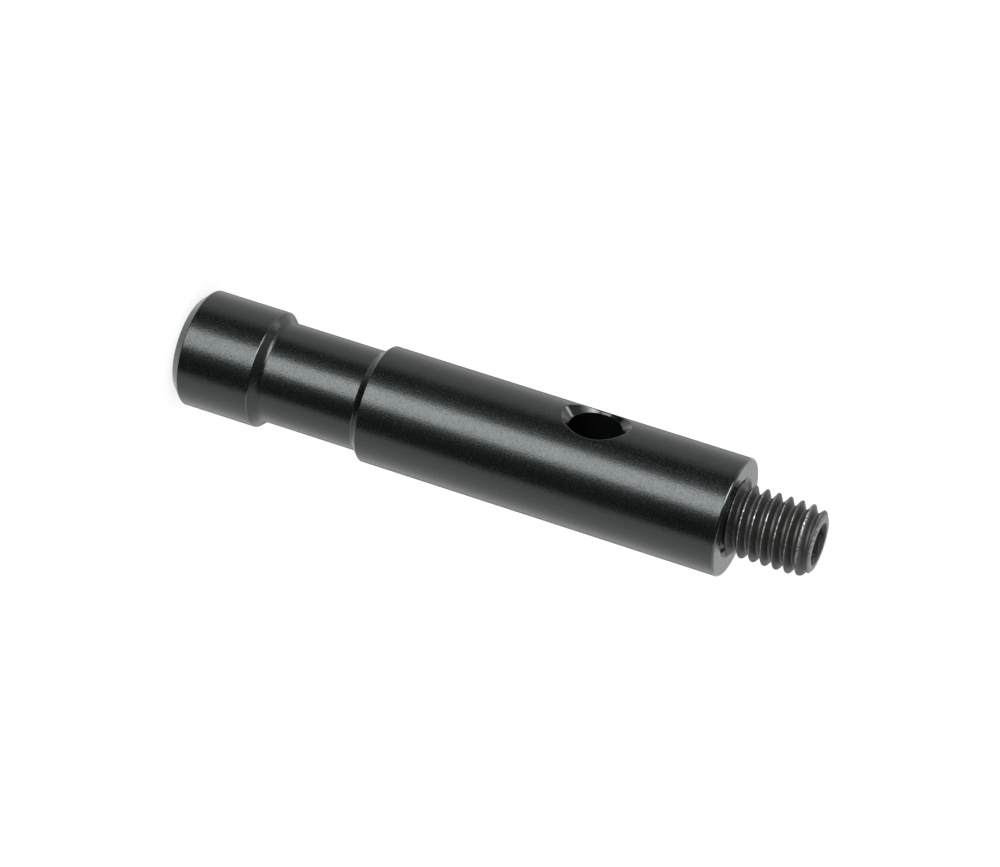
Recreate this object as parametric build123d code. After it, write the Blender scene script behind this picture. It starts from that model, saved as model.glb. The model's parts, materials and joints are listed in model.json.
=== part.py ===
from build123d import *
import math
import os

# A 5/8 in baby pin: a turned body with a lock groove, a countersunk cross-hole and a tapped
# end, and a socket set screw that stands out of the tapped end as a threaded stud.
# It stands on its plain head end, with its axis along +Z and the stud up. The cross-hole
# runs along X. All sizes are in millimetres, and angles in degrees.

INCH = 25.4

# Turned body
PIN_DIA = 15.875
BODY_LENGTH = 77.4
HEAD_LENGTH = 11.5
HEAD_CHAMFER = 1.35
NECK_DIA = 13.7
GROOVE_WIDTH = 15.7
GROOVE_WALL_ANGLE = 45.0
GROOVE_ROOT_RADIUS = 0.5
EDGE_BREAK = 0.12
FACE_BREAK = 0.25

# Cross-hole, countersunk at both mouths
CROSS_HOLE_DIA = 6.9
CROSS_HOLE_BELOW_FACE = 20.4
CROSS_COUNTERSINK_DIA = 9.4
COUNTERSINK_ANGLE = 90.0

# Screw thread of the stud and the tapped hole
THREAD_MAJOR_DIA = 9.525
THREADS_PER_INCH = 16
THREAD_CLEARANCE = 0.05
TAPPED_DEPTH = 13.0
TAPPED_COUNTERSINK_DIA = 10.9
DRILL_POINT_ANGLE = 118.0

# Set screw, from its socket end to its cup point
SCREW_LENGTH = 22.225
SCREW_PROJECTION = 11.3
SCREW_END_FACE_DIA = 7.2
SCREW_END_CHAMFER_ANGLE = 30.0
SCREW_END_TAPER_LENGTH = 2.1
SCREW_END_TAPER_ANGLE = 13.8
CUP_RIM_DIA = 5.2
CUP_ANGLE = 118.0
CUP_CHAMFER_ANGLE = 45.0
SOCKET_ACROSS_FLATS = 4.7625
SOCKET_DEPTH = 4.8
SOCKET_PILOT_DIA = 4.5
SOCKET_MOUTH_DIA = 5.7
SOCKET_TURN = 27.6

# A groove root takes up at most this share of its wall, so that some straight wall is left.
ROOT_SHARE_OF_WALL = 0.8
# The basic thread form's pitch line lies this share of the pitch inside the major diameter.
PITCH_LINE_SHARE = 0.6495
# How far a cutting tool runs past the surface that it opens.
TOOL_OVERRUN = 2.0

PIN_RADIUS = PIN_DIA / 2
NECK_RADIUS = NECK_DIA / 2
MAJOR_RADIUS = THREAD_MAJOR_DIA / 2
PITCH_RADIUS = (THREAD_MAJOR_DIA - PITCH_LINE_SHARE * INCH / THREADS_PER_INCH) / 2
SHANK_START = HEAD_LENGTH + GROOVE_WIDTH
CROSS_HOLE_HEIGHT = BODY_LENGTH - CROSS_HOLE_BELOW_FACE
SCREW_TOP = BODY_LENGTH + SCREW_PROJECTION


def cone_depth(radial_step, included_angle):
    """Axial length in which a cone of that included angle changes its radius by the step."""
    return radial_step / math.tan(math.radians(included_angle / 2))


def turned(corners, axis=Axis.Z):
    """Solid of revolution of a closed outline, given as (x, z, corner radius)."""
    points = [(x, 0, z) for x, z, _ in corners]
    radii = [radius for _, _, radius in corners]
    outline = FilletPolyline(*points, radius=radii, close=True)
    return revolve(make_face(outline), axis=axis)


def groove_root_radius():
    """Radius between the groove's wall and the neck, no larger than the wall has room for."""
    slope = math.radians(GROOVE_WALL_ANGLE)
    wall = (PIN_RADIUS - NECK_RADIUS) / math.sin(slope)
    return min(GROOVE_ROOT_RADIUS, ROOT_SHARE_OF_WALL * wall / math.tan(slope / 2))


def body_blank():
    """Turned blank: chamfered head, lock groove with 45 degree walls and round roots, shank."""
    wall_run = (PIN_RADIUS - NECK_RADIUS) / math.tan(math.radians(GROOVE_WALL_ANGLE))
    root = groove_root_radius()
    return turned([
        (0, 0, 0),
        (PIN_RADIUS - HEAD_CHAMFER, 0, EDGE_BREAK),
        (PIN_RADIUS, HEAD_CHAMFER, EDGE_BREAK),
        (PIN_RADIUS, HEAD_LENGTH, EDGE_BREAK),
        (NECK_RADIUS, HEAD_LENGTH + wall_run, root),
        (NECK_RADIUS, SHANK_START - wall_run, root),
        (PIN_RADIUS, SHANK_START, EDGE_BREAK),
        (PIN_RADIUS, BODY_LENGTH, FACE_BREAK),
        (0, BODY_LENGTH, 0),
    ])


def tapped_hole():
    """Blind tapped hole in the end face, drawn at the thread's pitch line, with its countersink
    and the point left by the drill."""
    radius = PITCH_RADIUS + THREAD_CLEARANCE
    mouth_radius = TAPPED_COUNTERSINK_DIA / 2
    mouth_depth = cone_depth(mouth_radius - radius, COUNTERSINK_ANGLE)
    overrun_radius = mouth_radius + TOOL_OVERRUN * math.tan(math.radians(COUNTERSINK_ANGLE / 2))
    floor = BODY_LENGTH - TAPPED_DEPTH
    return turned([
        (0, floor - cone_depth(radius, DRILL_POINT_ANGLE), 0),
        (radius, floor, 0),
        (radius, BODY_LENGTH - mouth_depth, 0),
        (overrun_radius, BODY_LENGTH + TOOL_OVERRUN, 0),
        (0, BODY_LENGTH + TOOL_OVERRUN, 0),
    ])


def cross_hole():
    """Hole right through the shank along X, countersunk at both mouths.

    The countersinks have their stated diameter at the crown of the barrel, and run out
    over its flanks in the saddle-shaped edge that a cone cuts in a cylinder.
    """
    radius = CROSS_HOLE_DIA / 2
    mouth_radius = CROSS_COUNTERSINK_DIA / 2
    straight = PIN_RADIUS - cone_depth(mouth_radius - radius, COUNTERSINK_ANGLE)
    reach = PIN_RADIUS + TOOL_OVERRUN
    overrun_radius = mouth_radius + TOOL_OVERRUN * math.tan(math.radians(COUNTERSINK_ANGLE / 2))
    cutter = turned([
        (-reach, 0, 0),
        (-reach, overrun_radius, 0),
        (-straight, radius, 0),
        (straight, radius, 0),
        (reach, overrun_radius, 0),
        (reach, 0, 0),
    ], axis=Axis.X)
    return Pos(0, 0, CROSS_HOLE_HEIGHT) * cutter


def pin_body():
    """The one-piece turned and drilled body."""
    return body_blank() - tapped_hole() - cross_hole()


def screw_blank():
    """Set screw without its socket.

    From the foot up: a cup point, the engaged thread at the pitch line, the free thread at the
    major diameter, a taper over its last turns, which do not fill out, and the chamfered end.
    """
    foot = SCREW_TOP - SCREW_LENGTH
    cup_radius = CUP_RIM_DIA / 2
    point_run = (PITCH_RADIUS - cup_radius) / math.tan(math.radians(CUP_CHAMFER_ANGLE))
    end_radius = SCREW_END_FACE_DIA / 2
    taper = math.tan(math.radians(SCREW_END_TAPER_ANGLE))
    chamfer = 1 / math.tan(math.radians(SCREW_END_CHAMFER_ANGLE))
    end_run = (MAJOR_RADIUS - end_radius - taper * SCREW_END_TAPER_LENGTH) / (chamfer - taper)
    return turned([
        (0, foot + cone_depth(cup_radius, CUP_ANGLE), 0),
        (cup_radius, foot, 0),
        (PITCH_RADIUS, foot + point_run, 0),
        (PITCH_RADIUS, BODY_LENGTH, 0),
        (MAJOR_RADIUS, BODY_LENGTH, 0),
        (MAJOR_RADIUS, SCREW_TOP - SCREW_END_TAPER_LENGTH, 0),
        (end_radius + end_run * chamfer, SCREW_TOP - end_run, 0),
        (end_radius, SCREW_TOP, 0),
        (0, SCREW_TOP, 0),
    ])


def hex_socket():
    """Broached hexagon with the cone of its pilot drill below and a round chamfer at its mouth."""
    floor = SCREW_TOP - SOCKET_DEPTH
    hexagon = RegularPolygon(SOCKET_ACROSS_FLATS / 2, 6, major_radius=False, rotation=SOCKET_TURN)
    prism = extrude(Pos(0, 0, floor) * hexagon, SOCKET_DEPTH + TOOL_OVERRUN)
    pilot_radius = SOCKET_PILOT_DIA / 2
    pilot = turned([
        (0, floor - cone_depth(pilot_radius, DRILL_POINT_ANGLE), 0),
        (pilot_radius, floor, 0),
        (0, floor, 0),
    ])
    mouth_radius = SOCKET_MOUTH_DIA / 2
    mouth = turned([
        (0, SCREW_TOP - cone_depth(mouth_radius, COUNTERSINK_ANGLE), 0),
        (mouth_radius, SCREW_TOP, 0),
        (0, SCREW_TOP, 0),
    ])
    return prism + pilot + mouth


def set_screw():
    """The socket set screw, its cup point down in the tapped hole."""
    return screw_blank() - hex_socket()


def main():
    """Writes one STEP file for each piece."""
    os.makedirs("parts", exist_ok=True)
    for name, make in (("pin_body", pin_body), ("set_screw", set_screw)):
        piece = make()
        piece.label = name
        export_step(piece, os.path.join("parts", name + ".step"))


main()
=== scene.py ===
"""Studio scene of a baby pin: a turned and black anodised body with a lock groove, a countersunk
cross-hole and a tapped end, and the socket set screw that stands out of it as a threaded stud.

The pin stands on its plain head end, with its axis along +Z. Shapes are worked out in
millimetres and go into the meshes in metres.
"""

import json
import logging
import math
from dataclasses import dataclass
from enum import Enum
from typing import Callable, Union

import bmesh
import bpy
import numpy as np
from mathutils import Matrix, Vector

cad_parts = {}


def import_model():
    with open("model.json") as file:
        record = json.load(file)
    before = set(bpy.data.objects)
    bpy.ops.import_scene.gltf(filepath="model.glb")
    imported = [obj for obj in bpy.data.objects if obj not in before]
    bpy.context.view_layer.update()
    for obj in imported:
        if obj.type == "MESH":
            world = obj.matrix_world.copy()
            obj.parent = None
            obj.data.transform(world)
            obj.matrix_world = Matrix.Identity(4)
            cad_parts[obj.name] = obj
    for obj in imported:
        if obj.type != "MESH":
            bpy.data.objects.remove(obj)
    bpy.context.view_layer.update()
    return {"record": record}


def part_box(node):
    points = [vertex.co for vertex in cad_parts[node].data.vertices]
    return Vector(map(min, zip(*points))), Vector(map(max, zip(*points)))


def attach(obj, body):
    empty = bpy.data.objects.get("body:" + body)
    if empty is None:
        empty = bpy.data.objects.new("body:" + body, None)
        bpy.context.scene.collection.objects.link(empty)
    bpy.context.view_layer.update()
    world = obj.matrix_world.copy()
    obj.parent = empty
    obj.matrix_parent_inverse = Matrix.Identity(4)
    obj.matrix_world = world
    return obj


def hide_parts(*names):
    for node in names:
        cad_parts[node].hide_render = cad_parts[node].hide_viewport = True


LOG = logging.getLogger("baby_pin")

MM = 0.001
INCH = 25.4
FULL_TURN = 2 * math.pi

# Screw thread
THREADS_PER_INCH = 16
THREAD_FLANK = math.radians(30)
FIRST_CREST_ABOVE_FACE = 0.678
TAPPED_CLEARANCE = 0.04
TAPPED_FLAT_CLEARANCE = 0.06

# How finely the surfaces are divided
COLUMNS = 192
ARC_STEP = math.radians(9)
FEWEST_ARC_STEPS = 4
OUTLINE_SUPPORT = 0.12
WELD_DISTANCE = 2e-7

# Noise and chance in the finishes
CLOUD_RANGE = (0.3, 0.7)
COARSE_GRAIN_SCALE = 0.3
GRAIN_MIDDLE = 0.7
CUBED_CHANCE_MEAN = 0.25

# Short names of types
Pair = tuple[float, float]
Triple = tuple[float, float, float]
Ramp = tuple[float, float, float, float]
Number = Union[np.ndarray, float]
Limit = Callable[[np.ndarray, np.ndarray], np.ndarray]
Socket = bpy.types.NodeSocket
Sockets = bpy.types.bpy_prop_collection
Value = Union[Socket, float, None]


class Slot(Enum):
    """The record's material slots."""

    ANODISED = "black_anodised"
    OXIDE = "black_oxide"


class Role(Enum):
    """What a panel of the studio does for the picture."""

    FLOOR = "floor"
    TENT = "tent"


@dataclass(frozen=True)
class Corner:
    """A corner of a turned outline.

    Args:
        reach: distance from the axis, in millimetres.
        height: height above the head end, in millimetres.
        rounding: radius of the arc that rounds the corner, in millimetres.
    """

    reach: float
    height: float
    rounding: float = 0.0


def corner_arc(before: np.ndarray, here: np.ndarray, after: np.ndarray, rounding: float) -> np.ndarray:
    """Points of the arc that rounds one corner of an outline.

    The arc's centre lies on the corner's bisector, at the rounding over the sine of half the
    corner's angle. Its points turn evenly from one tangent point to the other.

    Args:
        before: the corner before it.
        here: the corner that is rounded.
        after: the corner after it.
        rounding: the arc's radius, in millimetres.

    Returns:
        An array of points, one row each.
    """
    back = (before - here) / np.linalg.norm(before - here)
    ahead = (after - here) / np.linalg.norm(after - here)
    half = math.acos(float(np.clip(back @ ahead, -1, 1))) / 2
    bisector = (back + ahead) / np.linalg.norm(back + ahead)
    centre = here + bisector * rounding / math.sin(half)
    start = (here + back * rounding / math.tan(half) - centre) / rounding
    end = (here + ahead * rounding / math.tan(half) - centre) / rounding
    sweep = math.pi - 2 * half
    steps = max(FEWEST_ARC_STEPS, math.ceil(sweep / ARC_STEP))
    share = np.linspace(0, 1, steps + 1)[:, None]
    way = np.sin((1 - share) * sweep) * start + np.sin(share * sweep) * end
    return centre + rounding * way / math.sin(sweep)


def rounded_outline(*corners: Corner) -> np.ndarray:
    """An outline with its corners rounded and a support point near each end of its long straights.

    Args:
        corners: the outline's corners in order.

    Returns:
        An array of (reach, height) rows, in millimetres.
    """
    places = np.array([(c.reach, c.height) for c in corners], float)
    stretches = []
    for k, corner in enumerate(corners):
        if corner.rounding > 0:
            stretches.append(corner_arc(places[k - 1], places[k], places[k + 1], corner.rounding))
        else:
            stretches.append(places[k : k + 1])
    outline = [stretches[0]]
    for last, following in zip(stretches, stretches[1:]):
        run = following[0] - last[-1]
        length = np.linalg.norm(run)
        if length > 3 * OUTLINE_SUPPORT:
            shares = np.array([OUTLINE_SUPPORT / length, 1 - OUTLINE_SUPPORT / length])[:, None]
            outline.append(last[-1] + shares * run)
        outline.append(following)
    return np.concatenate(outline)


def even_angles(start: float = 0.0) -> np.ndarray:
    """Angles of a full turn's columns, first and last on the same line, in radians."""
    return math.radians(start) + np.linspace(0, FULL_TURN, COLUMNS + 1)


def round_grid(reach: np.ndarray, height: np.ndarray, angles: np.ndarray) -> np.ndarray:
    """Grid of points from the reach, height and angle of each."""
    return np.stack([reach * np.cos(angles), reach * np.sin(angles), height + 0 * angles], axis=-1)


def turned(outline: np.ndarray, angles: np.ndarray) -> np.ndarray:
    """Sweeps (reach, height) rows about Z, each to (reach cos angle, reach sin angle, height)."""
    return round_grid(outline[:, :1] + 0 * angles, outline[:, 1:] + 0 * angles, angles)


def parabola(start: np.ndarray, corner: np.ndarray, end: np.ndarray, steps: int) -> np.ndarray:
    """Rows of points that turn a corner softly.

    At share t the point is (1 - t) squared of the start, 2 t (1 - t) of the corner and t squared
    of the end. The start itself is left out.

    Args:
        start: the row that the curve leaves.
        corner: the row where its two tangents meet.
        end: the row that it reaches.
        steps: how many rows it has.

    Returns:
        The rows of points.
    """
    t = np.arange(1, steps + 1)[:, None, None] / steps
    return (1 - t) ** 2 * start + 2 * t * (1 - t) * corner + t * t * end


def towards(turn: Number, rise: Number) -> np.ndarray:
    """Unit vectors at angles in radians: cos turn cos rise, sin turn cos rise, sin rise."""
    parts = (np.cos(turn) * np.cos(rise), np.sin(turn) * np.cos(rise), np.sin(rise))
    return np.stack(np.broadcast_arrays(*parts), axis=-1)


def ramp(value: np.ndarray, start: float, end: float) -> np.ndarray:
    """Smooth step of a value, from 0 at the start to 1 at the end: 3 t squared less 2 t cubed."""
    t = np.clip((value - start) / (end - start), 0, 1)
    return t * t * (3 - 2 * t)


class Shell:
    """Grids of points whose faces close one surface, welded where their edges meet."""

    def __init__(self) -> None:
        """Starts with no grid."""
        self.points: list[np.ndarray] = []
        self.faces: list[np.ndarray] = []
        self.count = 0

    def add(self, grid: np.ndarray, keep: np.ndarray | None = None, flip: bool = False) -> None:
        """Adds a grid's points, and the faces between neighbouring rows and columns.

        Args:
            grid: rows and columns of points, in millimetres. The faces look along the
                columns' direction crossed with the rows' direction.
            keep: which faces are made, where not all are.
            flip: makes the faces look the other way.
        """
        rows, columns, _ = grid.shape
        index = self.count + np.arange(rows * columns).reshape(rows, columns)
        ring = [index[:-1, :-1], index[:-1, 1:], index[1:, 1:], index[1:, :-1]]
        faces = np.stack(ring[::-1] if flip else ring, axis=-1)
        self.points.append(grid.reshape(-1, 3))
        self.faces.append(faces.reshape(-1, 4) if keep is None else faces[keep])
        self.count += rows * columns

    def piece(self, name: str) -> bpy.types.Object:
        """Makes the object, its place in its mesh, with all seams welded and smooth shading.

        Args:
            name: the piece's name.

        Returns:
            The new object, linked into the scene.
        """
        points = np.concatenate(self.points) * MM
        faces = np.concatenate(self.faces)
        mesh = bpy.data.meshes.new(name)
        mesh.vertices.add(len(points))
        mesh.vertices.foreach_set("co", points.astype(np.float32).ravel())
        mesh.loops.add(faces.size)
        mesh.loops.foreach_set("vertex_index", faces.astype(np.int32).ravel())
        mesh.polygons.add(len(faces))
        mesh.polygons.foreach_set("loop_start", np.arange(0, faces.size, 4, dtype=np.int32))
        mesh.update(calc_edges=True)
        self.weld(mesh)
        mesh.polygons.foreach_set("use_smooth", np.ones(len(mesh.polygons), bool))
        mesh.update()
        piece = bpy.data.objects.new(name, mesh)
        bpy.context.scene.collection.objects.link(piece)
        return piece

    def weld(self, mesh: bpy.types.Mesh) -> None:
        """Merges points that lie on one place, and drops the faces left without area.

        Args:
            mesh: the mesh to weld.
        """
        shape = bmesh.new()
        shape.from_mesh(mesh)
        bmesh.ops.remove_doubles(shape, verts=shape.verts, dist=WELD_DISTANCE)
        bmesh.ops.dissolve_degenerate(shape, edges=shape.edges, dist=WELD_DISTANCE)
        shape.to_mesh(mesh)
        shape.free()


@dataclass(frozen=True)
class Thread:
    """One right-hand screw thread, outside or inside, along the Z axis.

    Args:
        pitch: height that one turn climbs.
        first_crest: height of a ridge's middle, or a groove's in a hole, at angle zero.
        crest_reach: reach of the ridge's flat top.
        root_reach: reach of the flat bottom between ridges.
        crest_flat: width of the flat at the larger reach.
        crest_rounding: radius that rounds the corners of that flat.
        root_rounding: radius that rounds the corners at the smaller reach.
    """

    pitch: float
    first_crest: float
    crest_reach: float
    root_reach: float
    crest_flat: float
    crest_rounding: float
    root_rounding: float

    def profile(self) -> np.ndarray:
        """One ridge from root to root, with flanks at 30 degrees to the plane across the axis.

        Returns:
            Rows of reach and offset from the ridge's middle.
        """
        half_top = self.crest_flat / 2
        half_foot = half_top + (self.crest_reach - self.root_reach) * math.tan(THREAD_FLANK)
        outline = rounded_outline(
            Corner(self.root_reach, -self.pitch / 2),
            Corner(self.root_reach, -half_foot, self.root_rounding),
            Corner(self.crest_reach, -half_top, self.crest_rounding),
            Corner(self.crest_reach, half_top, self.crest_rounding),
            Corner(self.root_reach, half_foot, self.root_rounding),
            Corner(self.root_reach, self.pitch / 2),
        )
        return outline[:-1]

    def grid(self, low: float, high: float, angles: np.ndarray, limit: Limit) -> np.ndarray:
        """The thread between two heights, on a grid whose rows climb with the helix.

        A row's height is the first crest's, plus the pitch times the share of a turn that its
        column stands at, plus whole pitches, plus its offset in the profile. Heights are held
        between the two ends, and the limit then trims each reach, so the ends are true rings.

        Args:
            low: height of the lower ring.
            high: height of the upper ring.
            angles: the angle of each column, in radians.
            limit: gives the trimmed reach from the profile's reach and the height.

        Returns:
            A grid of points in millimetres.
        """
        profile = self.profile()
        first = math.floor((low - self.first_crest) / self.pitch) - 2
        last = math.ceil((high - self.first_crest) / self.pitch) + 2
        turns = np.arange(first, last + 1)
        offsets = (turns[:, None] * self.pitch + profile[:, 1]).ravel()[:, None]
        reach = np.tile(profile[:, 0], len(turns))[:, None]
        height = self.first_crest + self.pitch * angles / FULL_TURN + offsets
        height = np.clip(height, low, high)
        return round_grid(limit(reach + 0 * angles, height), height, angles)


@dataclass(frozen=True)
class CrossHole:
    """The hole right through the shank along X, countersunk at both mouths.

    Its surface leaves the barrel at a window, a patch of the barrel's grid that is cut out.
    """

    height: float
    reach: float
    barrel: float
    mouth_reach: float = 4.7
    edge_softness: float = 0.11
    window_columns: int = 20
    window_rows: int = 32
    window_half_height: float = 6.0
    barrel_shares: tuple[float, ...] = (1, 0.72, 0.5, 0.32, 0.18, 0.09, 0.035, 0)
    rim_rows: int = 5
    cone_shares: tuple[float, ...] = (0.12, 0.35, 0.65, 0.88, 1.0)
    foot_rows: int = 4
    first_bore_ring: float = 0.2
    second_bore_ring: float = 0.6
    bore_rings: int = 8

    def window_heights(self) -> np.ndarray:
        """Heights of the rows that cross the window cut for the hole."""
        half = self.window_half_height
        return self.height + np.linspace(-half, half, self.window_rows + 1)

    def window_keep(self) -> np.ndarray:
        """Picks the faces of the band round the barrel that lie in neither window.

        Returns:
            True for each face that stays, by row and column.
        """
        keep = np.ones((self.window_rows, COLUMNS), bool)
        wide = self.window_columns
        keep[:, :wide] = False
        keep[:, COLUMNS - wide :] = False
        keep[:, COLUMNS // 2 - wide : COLUMNS // 2 + wide] = False
        return keep

    def window_edge(self) -> np.ndarray:
        """The window's edge at the +X mouth, anticlockwise from outside.

        Returns:
            Rows of arc length round the barrel and height from the hole's middle.
        """
        angle = FULL_TURN / COLUMNS * np.arange(-self.window_columns, self.window_columns + 1)
        rise = self.window_heights() - self.height
        window = np.stack(np.meshgrid(angle * self.barrel, rise), axis=-1)
        return np.concatenate([window[:-1, -1], window[-1, :0:-1], window[:0:-1, 0], window[0]])

    def rim(self, bearing: np.ndarray) -> np.ndarray:
        """Where the countersink's cone cuts the barrel.

        The cone's radius about the hole's axis is x less a constant c, and the barrel has x
        squared plus y squared equal to its radius squared. With y = (x - c) cos bearing, that is
        a quadratic in x, whose larger root is the rim.

        Args:
            bearing: direction from the hole's axis, from +Y towards +Z, in radians.

        Returns:
            Points in millimetres, their heights measured from the hole's middle.
        """
        c = self.barrel - self.mouth_reach
        share = np.cos(bearing) ** 2
        root = np.sqrt((c * share) ** 2 - (1 + share) * (c * c * share - self.barrel**2))
        x = (c * share + root) / (1 + share)
        return np.stack([x, (x - c) * np.cos(bearing), (x - c) * np.sin(bearing)], axis=-1)

    def on_barrel(self, flat: np.ndarray) -> np.ndarray:
        """Wraps rows of (arc length, rise) round the barrel."""
        angle = flat[..., 0] / self.barrel
        return np.stack([self.barrel * np.cos(angle), self.barrel * np.sin(angle), flat[..., 1]], axis=-1)

    def bore_ring(self, x: Number, bearing: np.ndarray) -> np.ndarray:
        """Circle of the bore's radius about the hole's axis, at distance x along it."""
        parts = (x, self.reach * np.cos(bearing), self.reach * np.sin(bearing))
        return np.stack(np.broadcast_arrays(*parts), axis=-1)

    def barrel_rows(self, edge: np.ndarray, rim: np.ndarray) -> np.ndarray:
        """Rows on the barrel, from the window's edge to just outside the rim.

        The points blend evenly in arc length and rise. The last row stands off the rim by the
        edge's softness, square to it.

        Args:
            edge: the window's edge, as (arc length, rise).
            rim: the rim's points.

        Returns:
            The rows of points.
        """
        flat_rim = np.stack([self.barrel * np.arctan2(rim[:, 1], rim[:, 0]), rim[:, 2]], axis=-1)
        along = np.roll(flat_rim[:-1], -1, axis=0) - np.roll(flat_rim[:-1], 1, axis=0)
        along = np.concatenate([along, along[:1]])
        outward = np.stack([along[:, 1], -along[:, 0]], axis=-1)
        outward /= np.linalg.norm(outward, axis=-1, keepdims=True)
        flat_start = flat_rim + outward * self.edge_softness
        shares = np.array(self.barrel_shares)[:, None, None]
        return self.on_barrel(flat_start + shares * (edge - flat_start))

    def grid(self) -> np.ndarray:
        """One surface from the window at the +X mouth, over the rim, down the countersink and
        the bore, and out again to the window at the -X mouth.

        The rim and the countersink's foot are softened by parabolas. The -X mouth mirrors the
        +X mouth.

        Returns:
            A grid of points in millimetres, with the bearings as its columns.
        """
        edge = self.window_edge()
        bearing = np.arctan2(edge[:, 1], edge[:, 0])
        rim = self.rim(bearing)
        barrel_rows = self.barrel_rows(edge, rim)
        slope = -np.stack([np.ones_like(bearing), np.cos(bearing), np.sin(bearing)], axis=-1) / math.sqrt(2)
        inner = rim + slope * self.edge_softness
        straight = self.barrel - (self.mouth_reach - self.reach)
        foot = self.bore_ring(straight, bearing)
        foot_soft = self.edge_softness / 2
        above = foot - slope * foot_soft
        below = self.bore_ring(straight - foot_soft, bearing)
        deep = np.linspace(straight - self.second_bore_ring, 0, self.bore_rings)
        places = np.concatenate([[straight - self.first_bore_ring], deep])
        half = np.concatenate([
            barrel_rows,
            parabola(barrel_rows[-1], rim, inner, self.rim_rows),
            inner + np.array(self.cone_shares)[:, None, None] * (above - inner),
            parabola(above, foot, below, self.foot_rows),
            self.bore_ring(places[:, None], bearing),
        ])
        other = half[-2::-1] * np.array([-1, 1, 1])
        return np.concatenate([half, other]) + np.array([0, 0, self.height])


@dataclass(frozen=True)
class PinBody:
    """The turned body: chamfered head, lock groove, shank, cross-hole and tapped end."""

    reach: float
    length: float
    neck_reach: float
    groove_middle: float
    hole: CrossHole
    tapped: Thread
    groove_width: float = 15.7
    head_chamfer: float = 1.35
    lower_root: float = 1.2
    upper_root: float = 0.5
    edge_break: float = 0.12
    head_edge_break: float = 0.2
    face_break: float = 0.3
    countersink_reach: float = 5.45
    countersink_break: float = 0.05
    countersink_lip: float = 0.3
    tapped_depth: float = 13.0
    lead_turns: float = 1.5
    drill_point: float = 118.0

    @property
    def head_length(self) -> float:
        """Height of the head's edge at the groove."""
        return self.groove_middle - self.groove_width / 2

    @property
    def floor(self) -> float:
        """Height of the tapped hole's floor."""
        return self.length - self.tapped_depth

    def build(self) -> bpy.types.Object:
        """Makes the body's mesh from the pole of the head end to the pole of the tapped hole.

        Returns:
            The finished piece.
        """
        angles = even_angles()
        heights = self.hole.window_heights()
        band = np.stack([np.full(len(heights), self.reach), heights], axis=-1)
        shell = Shell()
        shell.add(turned(self.lower_outline(heights[0]), angles))
        shell.add(turned(band, angles), keep=self.hole.window_keep())
        shell.add(self.hole.grid())
        shell.add(turned(self.upper_outline(heights[-1]), angles))
        shell.add(self.tapped_grid(angles), flip=True)
        shell.add(turned(self.drilled_outline(), angles))
        return shell.piece("pin_body_finished")

    def dress(self, piece: bpy.types.Object, effects: "Effects") -> None:
        """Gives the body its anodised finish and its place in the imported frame."""
        finish_piece(piece, "pin_body", AnodisedFinish(self).material(effects))

    def lower_outline(self, top: float) -> np.ndarray:
        """Outline of the head, the groove with its 45 degree walls, and the lower shank.

        Args:
            top: the height up to which it goes.

        Returns:
            Rows of (reach, height).
        """
        wall = self.reach - self.neck_reach
        shank = self.head_length + self.groove_width
        return rounded_outline(
            Corner(0, 0),
            Corner(self.reach - self.head_chamfer, 0, self.edge_break),
            Corner(self.reach, self.head_chamfer, self.edge_break),
            Corner(self.reach, self.head_length, self.head_edge_break),
            Corner(self.neck_reach, self.head_length + wall, self.lower_root),
            Corner(self.neck_reach, shank - wall, self.upper_root),
            Corner(self.reach, shank, self.edge_break),
            Corner(self.reach, top),
        )

    def upper_outline(self, foot: float) -> np.ndarray:
        """Outline of the upper shank, the end face and the plain part of the 90 degree countersink.

        Args:
            foot: the height from which it goes.

        Returns:
            Rows of (reach, height).
        """
        lip = self.countersink_lip
        return rounded_outline(
            Corner(self.reach, foot),
            Corner(self.reach, self.length, self.face_break),
            Corner(self.countersink_reach, self.length, self.countersink_break),
            Corner(self.countersink_reach - lip, self.length - lip),
        )

    def tapped_grid(self, angles: np.ndarray) -> np.ndarray:
        """The thread in the hole, from the floor to the plain part of the countersink."""
        return self.tapped.grid(self.floor, self.length - self.countersink_lip, angles, self.tapped_limit)

    def tapped_limit(self, reach: np.ndarray, height: np.ndarray) -> np.ndarray:
        """Opens the thread in the hole by the countersink, and fades it out above the floor.

        A groove's depth grows evenly with its height above the floor, until the lead's end. The
        countersink's reach falls by as much as the height does.

        Args:
            reach: reaches of the thread's profile.
            height: their heights.

        Returns:
            The limited reaches.
        """
        lead = self.lead_turns * self.tapped.pitch
        deepest = self.tapped.crest_reach - self.tapped.root_reach
        taper = self.tapped.root_reach + deepest * (height - self.floor) / lead
        countersink = self.countersink_reach - (self.length - height)
        return np.maximum(np.minimum(reach, taper), countersink)

    def drilled_outline(self) -> np.ndarray:
        """Outline of the drill point below the tapped hole, as rows of (reach, height)."""
        depth = self.tapped.root_reach / math.tan(math.radians(self.drill_point / 2))
        return rounded_outline(Corner(self.tapped.root_reach, self.floor), Corner(0, self.floor - depth))


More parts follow.
